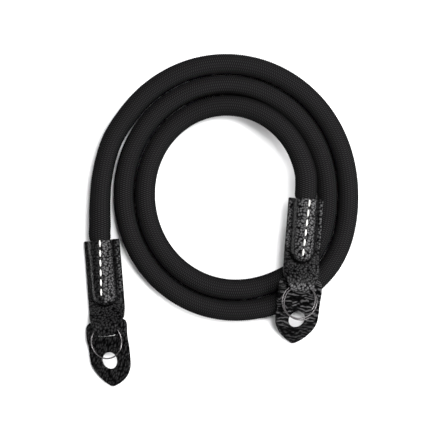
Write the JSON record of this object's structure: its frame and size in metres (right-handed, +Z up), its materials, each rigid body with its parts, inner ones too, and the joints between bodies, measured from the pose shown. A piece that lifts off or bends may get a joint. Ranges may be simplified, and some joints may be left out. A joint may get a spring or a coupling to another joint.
{
  "type": "rope camera strap",
  "caption": "Round braided rope camera strap lying in a flat coil, with stitched leather end tabs, split rings and leather pads that keep the rings off the camera.",
  "frame": {"origin": "middle of the coiled strap's box, on the surface that it lies on", "axes": "+Z up off the surface, +Y the long way of the coiled strap, from the pads' tips to the far side of the coil, +X to the right seen from above"},
  "size_m": [0.1346, 0.1629, 0.0213],
  "materials": {
    "rope": "matt charcoal braid",
    "leather": "black pebbled grain, satin",
    "steel": "dark plated steel, polished"
  },
  "bodies": {
    "root": {"rope": "rope", "tab_left": "leather", "pad_left": "leather", "ring_left": "steel", "tab_right": "leather", "pad_right": "leather", "ring_right": "steel"}
  },
  "joints": []
}
